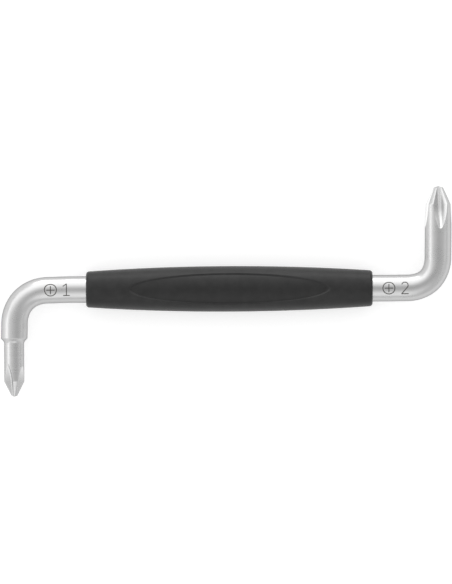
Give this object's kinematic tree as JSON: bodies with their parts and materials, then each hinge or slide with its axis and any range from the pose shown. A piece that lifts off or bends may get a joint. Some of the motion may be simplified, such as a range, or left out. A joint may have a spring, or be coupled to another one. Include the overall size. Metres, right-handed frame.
{
  "type": "offset screwdriver",
  "caption": "Offset screwdriver: a round steel bar bent into a Z with a milled cross tip on each leg, and a two-shot grip with an oval window moulded round its middle.",
  "frame": {"origin": "centre of the whole outline, on the plane of the bar's axis", "axes": "+X along the bar from the small tip's leg to the large tip's leg, +Y the way the large tip points, +Z square to the plane that the bar is bent in"},
  "size_m": [0.1016, 0.047, 0.0096],
  "materials": {
    "steel": "satin chrome plate over alloy steel",
    "core": "matte, fine spark-eroded grain",
    "skin": "matte soft elastomer, fine grain"
  },
  "bodies": {
    "root": {"blade_bar": "steel", "grip_core": "core", "grip_skin": "skin"}
  },
  "joints": []
}
